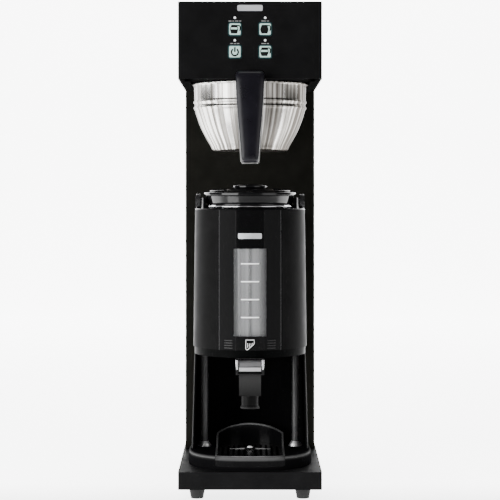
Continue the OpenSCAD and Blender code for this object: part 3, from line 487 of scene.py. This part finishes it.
def from_point(r, z, steps):
    """Outline points that lie the given (radius, height) steps in mm from one point."""
    return [(r + dr * MM, z + dz * MM) for dr, dz in steps]


def lathe(name, outline, material, body, steps=144, wobble=None, angle=32):
    """Solid of revolution about the server's axis from a closed (radius, height) outline."""
    verts, faces = [], []
    n = len(outline)
    for i in range(steps):
        a = math.radians(360 * i / steps)
        for r, z in outline:
            radius = wobble(r, z, a) if wobble else r
            verts.append((radius * math.cos(a), AXIS + radius * math.sin(a), z))
    for i in range(steps):
        j = (i + 1) % steps
        for k in range(n):
            m = (k + 1) % n
            on_axis = outline[k][0] < 1e-6 and outline[m][0] < 1e-6
            if not on_axis:
                faces.append((i * n + k, j * n + k, j * n + m, i * n + m))
    return add_mesh(name, verts, faces, material, body, angle)


def loft(name, rings, material, body, angle):
    """Skin over rings of equal length, closed at both ends."""
    n = len(rings[0])
    verts = [p for ring in rings for p in ring]
    faces = []
    for i in range(len(rings) - 1):
        for k in range(n):
            m = (k + 1) % n
            faces.append((i * n + k, i * n + m, (i + 1) * n + m, (i + 1) * n + k))
    faces.append(tuple(range(n))[::-1])
    faces.append(tuple(range(n * (len(rings) - 1), n * len(rings))))
    return add_mesh(name, verts, faces, material, body, angle)


# ---------------------------------------------------------------- CAD nodes


def dress(names, material):
    """Gives CAD nodes a material and smooth shading."""
    for name in names:
        mesh = nodes[name].data
        mesh.materials.clear()
        mesh.materials.append(material)
        mesh.shade_smooth()
        mesh.set_sharp_from_angle(angle=math.radians(32))


dress(["head_shell", "base_shell", "top_cover"], COAT)
dress(["column_shell", "back_panel"], COAT_WARM)
dress(["base_plate", "head_pan", "tank_shelf", "basket_rails"], INSIDE)
dress(["feet"], RUBBER)
dress(["case_screws", "tank_bolts", "handle_screws"], SCREW)
dress(["tank_gasket", "lid_gasket", "valve_stem", "spray_tube"], DARK)
dress(["limit_thermostat", "valve_coil", "cable_gland"], DARK)
dress(["spray_head", "tank_body", "tank_lid", "heating_element", "temp_probe"], STEEL)
dress(["vacuum_vessel", "filter_rack"], STEEL)
dress(["tank_insulation"], FOAM)
dress(["inlet_valve"], BRASS)
dress(["fill_tube"], SILICONE)
dress(["control_board", "power_board"], BOARD)
dress(["led_lenses"], LENS_DOT)
dress(["key_start", "key_full_jug", "key_power", "key_half_jug"], KEY)
dress(["basket_shell"], BASKET)
dress(["basket_handle"], HANDLE)
dress(["handle_bracket"], STRAP)
dress(["server_base"], STAND_BASE)
dress(["drip_tray"], TRAY)
dress(["drip_grid"], GRID)
dress(["stand_shell"], SHELL)
dress(["stand_pillars"], PILLAR_PAINTED_LIGHTER)
dress(["pillar_caps"], CAP)
dress(["server_collar"], COLLAR)
dress(["server_casing"], CASING)
dress(["server_fascia"], FASCIA)
dress(["gauge_lens", "sight_tube"], LENS)
dress(["gauge_reflector"], GAUGE)
dress(["faucet_body", "server_lid", "brew_cap"], GLOSS)
dress(["faucet_nozzle"], NOZZLE)
dress(["faucet_lever"], LEVER)
dress(["server_shoulder"], SHOULDER)
dress(["bail_handle"], LUG)
dress(["lid_trim_ring"], CHROME)


# ---------------------------------------------------------------- brew basket

FLUTES = 40
FLUTE_DEPTH = 0.5 * MM


def fluted(r, z, a):
    """Presses shallow flutes into the tapered part of the basket's wall."""
    if not BOWL_Z + 3 * MM < z < KNEE_Z + 2 * MM:
        return r
    t = (z - BOWL_Z) / (KNEE_Z - BOWL_Z)
    fade = max(0.0, min(1.0, (1 - t) * 9 + 0.15, t * 9))
    return r - fade * FLUTE_DEPTH * (1 - abs(math.cos(FLUTES / 2 * a)) ** 1.5)


def basket():
    """Pressed basket: rolled rim, upright wall with two beads, fluted slope, flat bottom with its outlet."""
    wall = RIM_R - 6 * MM
    foot = 57.5 * MM
    thick = 1.0 * MM
    rim = from_point(RIM_R, RIM_Z, [
        (-1.2, -0.1), (-0.2, -0.6), (0, -1.6), (-0.5, -2.6), (-1.4, -2.8), (-2.2, -2),
    ])
    rim += from_point(wall, RIM_Z, [(1.4, -2)])
    upright = from_point(wall, RIM_Z, [
        (0.3, -2.6), (0, -4), (-0.6, -23), (-0.4, -25), (0.7, -26.4), (0.7, -28), (-0.5, -29.6), (-1.2, -31),
        (-1.2, -32.4), (-0.2, -33.8), (0.4, -35), (0.4, -36.4), (-0.8, -38), (-1.8, -40),
    ])
    knee_r, heel_r, heel_z = wall - 2.4 * MM, foot + 1 * MM, BOWL_Z + 7 * MM
    slope = []
    for t in [i / 12 for i in range(13)]:
        bulge = 2.2 * MM * math.sin(math.pi * t)
        slope.append((knee_r + t * (heel_r - knee_r) + bulge, KNEE_Z + t * (heel_z - KNEE_Z)))
    heel = from_point(foot, BOWL_Z, [(0.2, 4.6), (-0.9, 2.4), (-2.8, 0.8), (-5.5, 0)])
    outlet = from_point(0, BOWL_Z, [(40, -0.1), (9.5, -0.1), (8, -0.4), (8, -1.5), (6.5, -1.5), (6.5, 0.8)])
    skin = upright + slope + heel
    inside = [(r - thick, z + (thick if z < BOWL_Z + 3 * MM else 0)) for r, z in reversed(skin)]
    inside += from_point(wall, RIM_Z, [(-0.6, -1.6), (0.8, -0.6)])
    inside += from_point(RIM_R, RIM_Z, [(-3, -0.4)])
    outline = rim + skin + outlet + inside
    ob = lathe("basket_pressing", outline, BASKET, "basket", FLUTES * 8, fluted, 50)
    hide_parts("basket_shell")


basket()


# ---------------------------------------------------------------- basket handle

LEAN = math.radians(10)
GRIP_TOP = Vector((0, FRONT - 4.4 * MM, RIM_Z + 10 * MM))


def on_grip(x, forward, along):
    """Point of the handle, from mm in its leaning frame: sideways, away from the basket, down the grip."""
    c, s = math.cos(LEAN), math.sin(LEAN)
    return GRIP_TOP + Vector((x, -c * forward - s * along, s * forward - c * along)) * MM


def signed_power(v, power):
    """Power of a number's size, with the number's sign."""
    return math.copysign(abs(v) ** power, v)


def handle():
    """Long grip of squarish sections, with a crowned front and a raised line down its middle."""
    back = 1.7  # mm from the grip's frame to its back face
    squareness = 0.42
    sections = [  # mm down the handle, half width, depth
        (0.0, 15.0, 7.5), (0.7, 17.2, 10.5), (2.4, 19.0, 14.0), (6.0, 20.1, 16.4), (14, 20.2, 17.6),
        (36, 19.5, 18.0), (54, 18.4, 17.6), (74, 16.8, 17.0), (92, 15.1, 16.4), (110, 13.7, 15.8),
        (122, 12.9, 15.2), (127, 12.5, 14.6), (129.4, 11.7, 13.0), (130.6, 10.2, 10.8), (131, 8.6, 8.8),
    ]
    steps = 72
    rings = []
    for along, half, depth in sections:
        ring = []
        for k in range(steps):
            a = 2 * math.pi * k / steps
            x = half * signed_power(math.cos(a), squareness)
            side = signed_power(math.sin(a), squareness)
            forward = back + depth / 2 * (1 + side)
            if side > 0:
                crown = 1.9 * (x / half) ** 2 + 0.5
                line = 0.7 * math.exp(-((x / 1.3) ** 2)) * min(1, along / 8)
                forward += side * (line - crown)
            ring.append(on_grip(x, forward, along))
        rings.append(ring)
    ob = loft("brew_handle", rings, HANDLE, "basket", 50)
    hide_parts("basket_handle")


handle()


# ---------------------------------------------------------------- prints


def ribbon(points, width, shut=False):
    """The two sides of a line of even width through points."""
    left, right = [], []
    count = len(points)
    for i, p in enumerate(points):
        before = points[i - 1] if i or shut else p
        after = points[(i + 1) % count] if i < count - 1 or shut else p
        d = (Vector(after) - Vector(before)).normalized()
        side = Vector((-d.y, d.x)) * width / 2
        left.append((p[0] + side.x, p[1] + side.y))
        right.append((p[0] - side.x, p[1] - side.y))
    return left, right


def stroke(points, width):
    """An open line, as one outline."""
    left, right = ribbon(points, width)
    return left + right[::-1]


def loop(points, width):
    """A closed line, as quads."""
    left, right = ribbon(points, width, shut=True)
    n = len(points)
    return [[left[i], left[(i + 1) % n], right[(i + 1) % n], right[i]] for i in range(n)]


def ink(name, shapes, place, thick, material, body):
    """Flat print made of outlines. place maps (u, v, out) in mm to a point on the printed surface."""
    verts, faces = [], []
    for outline in shapes:
        faces += prism(len(outline), len(verts))
        verts += [place(u, v, out) for out in (0.0, thick) for u, v in outline]
    return add_mesh(name, verts, faces, material, body)


def upright_face(x, y, z):
    """A place function for ink() on the upright face at y, with its origin at (x, z)."""

    def place(u, v, out):
        return (x + u * MM, y - out * MM, z + v * MM)

    return place


# ---------------------------------------------------------------- keypad

ICON_WIDE, ICON_TALL = 1.2, 1.25  # pictograms are drawn smaller than they are printed
HEAD_BADGE_Z = HEAD_Z + 100.6 * MM


def jug(full):
    """Pictogram of a glass jug with a lid and a handle, full or half full."""
    grip = stroke([(2.8, 4.1), (5.2, 4.1), (6.3, 2.6), (6.3, 0.2), (5.6, -2.0)], 1.5)
    if full:
        body = [
            (-4.4, -5.0, 0.8), (2.6, -5.0, 0.8), (4.1, -0.6, 1.5),
            (2.7, 4.9, 0.8), (-4.1, 4.9, 0.8), (-6.0, -0.4, 1.5),
        ]
        return [rounded(body), grip]
    lid = rounded([(-5.2, 1.9, 0.3), (3.6, 1.9, 0.3), (2.7, 4.9, 0.8), (-4.1, 4.9, 0.8)])
    brew = rounded([(-4.4, -5.0, 0.8), (2.6, -5.0, 0.8), (4.1, -0.2, 0.2), (-6.0, -0.2, 0.2)])
    sides = [stroke([(-5.6, -0.3), (-4.8, 2.4)], 0.9), stroke([(3.7, -0.3), (3.1, 2.4)], 0.9)]
    return [lid, brew, grip, *sides]


def dashes(lengths):
    """Stand-in for a caption: a centred row of plain dashes above a key."""
    gap = 1.1
    u = -(sum(lengths) + gap * (len(lengths) - 1)) / 2
    row = []
    for length in lengths:
        row.append(plate(u + length / 2, 11.6, length, 1.3, 0.4))
        u += length + gap
    return row


def keypad():
    """Pictogram and caption of each key, a thin dark teal ring round each key painted as its halo, and the
    plain plate above them.
    """
    power = [stroke(arc(0, -0.5, 4.0, 125, 415, 28), 1.9), stroke([(0, -0.4), (0, 5.2)], 1.9)]
    keys = {
        "start": (jug(False), (4.6, 2.2, 5.2, 3.0)),
        "full_jug": (jug(True), (6.6, 3.2)),
        "power": (power, (3.8, 3.0, 3.8)),
        "half_jug": (jug(False), (6.6, 3.2)),
    }
    for key, (shapes, lengths) in keys.items():
        node = "key_" + key
        centre = (low(node) + high(node)) / 2
        cap = upright_face(centre.x, KEY_FACE, centre.z)
        panel = upright_face(centre.x, FRONT, centre.z)
        shapes = [[(u * ICON_WIDE, v * ICON_TALL) for u, v in outline] for outline in shapes]
        ink("icon_" + key, shapes, cap, 0.06, INK, key + "_key")
        ink("caption_" + key, dashes(lengths), panel, 0.06, CAPTION, "brewer")
        # thin dark teal ring round the key, a painted halo
        halo_ring = loop(plate(0, 0, 18.4, 18.4, 2.8), 1.4)
        ink("painted_halo_" + key, halo_ring, panel, 0.25, PAINTED_KEY_HALO, "brewer")
    badge = upright_face(0, FRONT, HEAD_BADGE_Z)
    ink("head_badge", [plate(0, 0, 36, 8.6, 2.2)], badge, 0.5, BADGE, "brewer")


keypad()


# ---------------------------------------------------------------- server casing

CASING_FOOT = CASING_LOW / MM


def on_casing(u, v, out):
    """Point on the front of the casing, u mm sideways and at height v mm, standing out by out mm."""
    r = casing_r(v * MM) + out * MM
    return (u * MM, AXIS - math.sqrt(r * r - (u * MM) ** 2), v * MM)


def wrap(name, u0, u1, v0, v1, material, proud, thick):
    """Thin strip on the front of the casing, in mm: from u0 to u1 across and from v0 to v1 up."""
    columns = 16
    verts = []
    for v in (v0, v1):
        for out in (proud, proud - thick):
            verts += [on_casing(u0 + (u1 - u0) * i / columns, v, out) for i in range(columns + 1)]
    n = columns + 1
    faces = []
    for i in range(columns):
        faces.append((i, i + 1, 2 * n + i + 1, 2 * n + i))
        faces.append((n + i + 1, n + i, 3 * n + i, 3 * n + i + 1))
        faces.append((i + 1, i, n + i, n + i + 1))
        faces.append((2 * n + i, 2 * n + i + 1, 3 * n + i + 1, 3 * n + i))
    faces.append((0, 2 * n, 3 * n, n))
    faces.append((columns, n + columns, 3 * n + columns, 2 * n + columns))
    return add_mesh(name, verts, faces, material, "server")


def label(name, middle, w, h, r, material, proud, thick):
    """Plate with round corners that follows the curve of the casing, in mm."""
    columns = 24
    verts = []
    for i in range(columns + 1):
        u = -w / 2 * math.cos(math.pi * i / columns)
        bite = max(0.0, r - (w / 2 - abs(u)))
        half = h / 2 - r + math.sqrt(max(0.0, r * r - bite * bite))
        for v, out in ((-half, proud), (half, proud), (half, proud - thick), (-half, proud - thick)):
            verts.append(on_casing(u, middle + v, out))
    faces = []
    for i in range(columns):
        a, b = 4 * i, 4 * i + 4
        faces += [(a + k, b + k, b + (k + 1) % 4, a + (k + 1) % 4) for k in range(4)]
    last = 4 * columns
    faces += [(0, 1, 2, 3), (last + 3, last + 2, last + 1, last)]
    return add_mesh(name, verts, faces, material, "server")


def level_marks():
    """Four white marks across the gauge window."""
    foot, head = low("gauge_lens").z / MM, high("gauge_lens").z / MM
    first, step = foot + 27.2, (head - foot) / 4.9
    reach, half = 13, 0.8
    for i in range(4):
        v = first + step * i
        name = "level_mark_%d" % (i + 1)
        wrap(name, -reach, reach, v - half, v + half, GLOWING_WHITE_PRINT, proud=0.4, thick=0.15)


def grip_lines():
    """Four raised lines on each side of the fascia's foot, which stand prouder than the fascia."""
    first, step, height = CASING_FOOT + 2.5, 3.6, 1.5
    for word, u0, u1 in (("l", -37, -25), ("r", 25, 37)):
        for i in range(4):
            v = first + step * i
            name = "grip_line_%s%d" % (word, i + 1)
            ob = wrap(name, u0, u1, v, v + height, PILLAR, proud=1.25, thick=0.8)
            bevel(ob, 0.3 * MM)


def push_icon():
    """Pictogram of a hand, above the faucet."""
    hand = [
        (-6, 6.6), (6, 6.6), (6.2, 1.6), (4.2, -0.8), (-1.2, -5.2), (-2.8, -7.2), (-5.0, -7.4), (-6.2, -5.8),
    ]
    fingers = [
        [(-3.4, 2.0), (-3.4, -4.2)], [(-1.0, 1.6), (-1.0, -3.4)],
        [(1.2, 1.4), (1.8, -1.4)], [(3.4, 2.2), (4.0, 0.2)],
    ]

    def place(u, v, out):
        return on_casing(u, CASING_FOOT + 8.6 + v, 0.85 + out)

    shapes = loop(hand, 0.7) + [stroke(line, 0.6) for line in fingers]
    ink("push_icon", shapes, place, 0.07, GLOWING_WHITE_PRINT, "server")


level_marks()
grip_lines()
push_icon()
label("server_badge", CASING_FOOT + 164, 34, 8, 1.6, BADGE, proud=0.7, thick=0.6)


# ---------------------------------------------------------------- server lid and bail


def on_seat(corners):
    """Outline in metres from (r, z, radius) corners in mm, with z measured from the lid's seat."""
    return from_point(0, high("lid_trim_ring").z, rounded(corners, 6))


def lid():
    """Lid with its plug and dished top, the brew-through cap in its middle, and the bright ring below it."""
    bore = 20.0
    outline = on_seat([
        (bore, -24, 0.4), (42.6, -24, 0.6), (42.6, -16, 0.3), (41.1, -15, 0.2), (41.1, -11, 0.2),
        (42.6, -10, 0.3), (42.6, 0, 0), (62.6, 0, 0.5), (64.0, 6, 4), (65.6, 13.6, 1.2), (68.3, 14.4, 0.8),
        (68.3, 18.4, 1.5),
        (63.0, 20.6, 0.6), (62.2, 19.4, 0.4), (60.8, 19.4, 0.4), (60.0, 21.4, 0.9), (54.2, 24.6, 1.2),
        (52.8, 22.6, 0.5), (32.0, 23.4, 1), (28.6, 24.4, 0.8), (26.4, 24.4, 0.6), (bore, 24.2, 0.5),
    ])
    ob = lathe("lid_moulding", outline, GLOSS, "lid")
    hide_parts("server_lid")
    outline = on_seat([
        (0, 4, 0), (17.6, 4, 0.5), (19.6, 8, 1), (19.6, 24.6, 0.2), (24.6, 24.6, 0.6), (25.5, 26.4, 1.0),
        (25.3, 28.6, 1.2), (23.0, 30.5, 1.0), (20.8, 30.3, 0.6), (19.6, 28.8, 0.8), (0, 28.9, 0),
    ])
    ob = lathe("cap_moulding", outline, GLOSS, "cap")
    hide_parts("brew_cap")
    outline = on_seat([(50, -3, 0), (67.4, -3, 0.5), (67.6, -1.6, 0.8), (66.0, 0, 0.7), (50, 0, 0)])
    ob = lathe("trim_ring", outline, CHROME, "server")
    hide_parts("lid_trim_ring")


lid()


def bail_ribs():
    """Four raised ribs round each of the bail's hubs."""
    pivot_y = low("bail_handle").y + 10.5 * MM
    pivot_z = (low("bail_handle").z + high("bail_handle").z) / 2
    radius, half = 10.9 * MM, 0.45 * MM
    first, step = 74.4, 1.75
    disc = arc(pivot_y, pivot_z, radius, 0, 360, 48)[:-1]
    for side, word in ((-1, "l"), (1, "r")):
        for i in range(4):
            x = side * (first + step * i) * MM
            name = "bail_rib_%s%d" % (word, i + 1)
            ob = slab(name, disc, x - half, x + half, "X", LUG, "bail")
            bevel(ob, 0.3 * MM)


bail_ribs()


# ---------------------------------------------------------------- faucet and drip tray


def cheeks():
    """Bright wedges on both sides of the faucet's body, below the collar."""
    top = low("server_collar").z
    front, back = AXIS - 94.3 * MM, AXIS - 86.2 * MM
    corners = ((17.0, -2.0), (20.6, -1.2), (19.4, -15.0), (17.4, -15.6))
    for side, word in ((-1, "left"), (1, "right")):
        outline = [(side * x * MM, top + z * MM) for x, z in corners]
        if side < 0:
            outline.reverse()
        ob = slab("cheek_" + word, outline, front, back, "Y", CHROME, "server")
        bevel(ob, 0.4 * MM)


cheeks()


def drain():
    """Strainer dome at the middle of the drip grid, painted white as a stand-in for its highlight, with ribs
    that point to it; the two long ribs along X are pale grey, a painted reflection.
    """
    top = high("drip_grid").z
    y = AXIS - 10 * MM
    quarter = [math.pi / 2 * i / 8 for i in range(9)]
    radius, height, sunk = 4.2 * MM, 2.3 * MM, 0.4 * MM
    dome = [(radius * math.sin(a), top - sunk + height * math.cos(a)) for a in quarter]
    steps = 48
    verts, faces = [(0, y, dome[0][1])], []
    for i in range(steps):
        a = 2 * math.pi * i / steps
        verts += [(r * math.cos(a), y + r * math.sin(a), z) for r, z in dome[1:]]
    n = len(dome) - 1
    for i in range(steps):
        j = (i + 1) % steps
        faces.append((0, 1 + i * n, 1 + j * n))
        faces += [(1 + i * n + k, 2 + i * n + k, 2 + j * n + k, 1 + j * n + k) for k in range(n - 1)]
    faces.append(tuple(n + i * n for i in range(steps))[::-1])
    add_mesh("drain_dome", verts, faces, PAINTED_WHITE_STRAINER, "grid")

    plane = top - 2.5 * MM
    root, wide, narrow = 4.4 * MM, 1.3 * MM, 0.25 * MM  # where a rib starts, and half its width at each end
    for i in range(10):
        along_x = i in (0, 5)
        reach = (30 if along_x else 17) * MM
        a = math.radians(36 * i)
        d = Vector((math.cos(a), math.sin(a)))
        e = Vector((-d.y, d.x))
        start, end = d * root, d * reach
        outline = [start + e * wide, start - e * wide, end - e * narrow, end + e * narrow]
        verts = [(p.x, y + p.y, plane) for p in outline]
        verts += [(start.x, y + start.y, plane + 1.5 * MM), (end.x, y + end.y, plane + 0.3 * MM)]
        faces = [(3, 2, 1, 0), (3, 5, 4, 0), (4, 5, 2, 1), (4, 1, 0), (2, 5, 3)]
        # the two long ribs along X are pale: a painted reflection
        add_mesh("drain_rib_%02d" % i, verts, faces, PAINTED_REFLECTION_RIB if along_x else PILLAR, "grid")


drain()


# ---------------------------------------------------------------- floor, light and camera


def backdrop():
    """Pale floor that sweeps up behind the brewer and darkens towards the camera."""
    gap = 0.2 * MM  # the floor lies this far below the feet
    s = Shader("floor_white")
    at = s.place()
    pale = s.math("MULTIPLY", s.spread(at["Y"], 0.5, 1.0, -1.1, -0.35), s.spread(s.noise(3, 3), 0.96, 1.0))
    s.colour(pale, [(0.0, grey(0.0)), (1.0, grey(0.9))])
    s.into("Emission Strength", s.spread(at["Y"], 0.4, 5.5, -0.4, -0.05))
    s.set(Roughness=0.9, Emission_Color=(1, 1, 1, 1), Specular_IOR_Level=0.1)
    profile = [(-6.0, 0.0), *arc(3.0, 2.0, 2.0, -90, 0, 12), (5.0, 6.0)]
    verts = [(x, y, z - gap) for x in (-7.0, 7.0) for y, z in profile]
    n = len(profile)
    mesh = bpy.data.meshes.new("floor")
    mesh.from_pydata(verts, [], [(i, i + 1, n + i + 1, n + i) for i in range(n - 1)])
    mesh.materials.append(s.material)
    mesh.shade_smooth()
    floor = bpy.data.objects.new("floor", mesh)
    bpy.context.scene.collection.objects.link(floor)


def area(name, at, aim, size, power):
    """Rectangular light at one point that faces another."""
    data = bpy.data.lights.new(name, "AREA")
    data.shape = "RECTANGLE"
    data.size, data.size_y = size
    data.energy = power
    ob = bpy.data.objects.new(name, data)
    ob.location = at
    ob.rotation_mode = "QUATERNION"
    ob.rotation_quaternion = (Vector(aim) - Vector(at)).to_track_quat("-Z", "Y")
    bpy.context.scene.collection.objects.link(ob)


def lights():
    """Soft boxes on both sides and above, a low one in front, a wash on the backdrop, and a dim sky."""
    world = bpy.data.worlds.new("studio")
    world.use_nodes = True
    sky = world.node_tree.nodes["Background"]
    sky.inputs["Color"].default_value = (1, 1, 1, 1)
    sky.inputs["Strength"].default_value = 0.2
    bpy.context.scene.world = world

    area("left_box", (-1.5, -1.3, 0.75), (0, FRONT, 0.45), (1.6, 1.5), 62)
    area("right_box", (1.5, -1.4, 0.8), (0, FRONT, 0.45), (1.4, 1.4), 13)
    area("low_box", (-0.66, -0.72, 0.08), (-0.05, -0.15, 0.52), (0.5, 0.35), 3)
    area("overhead", (0, 0.3, 2.2), (0, 0, 0.3), (1.2, 1.2), 20)
    area("back_wash", (0, 2.2, 2.6), (0, 4.5, 0.8), (3.0, 1.0), 160)


def camera():
    """Level camera straight in front, at the height of the server's lid."""
    distance = 2.3  # from the brewer's front
    width = 0.7102  # of the view at the brewer's front
    height = 0.4378
    sensor = 36
    data = bpy.data.cameras.new("camera")
    data.sensor_width = sensor
    data.lens = sensor * distance / width
    data.shift_y = -0.114
    data.clip_end = 30
    ob = bpy.data.objects.new("camera", data)
    ob.location = (0, FRONT - distance, height)
    ob.rotation_euler = (math.radians(90), 0, 0)
    bpy.context.scene.collection.objects.link(ob)
    bpy.context.scene.camera = ob


backdrop()
lights()
camera()
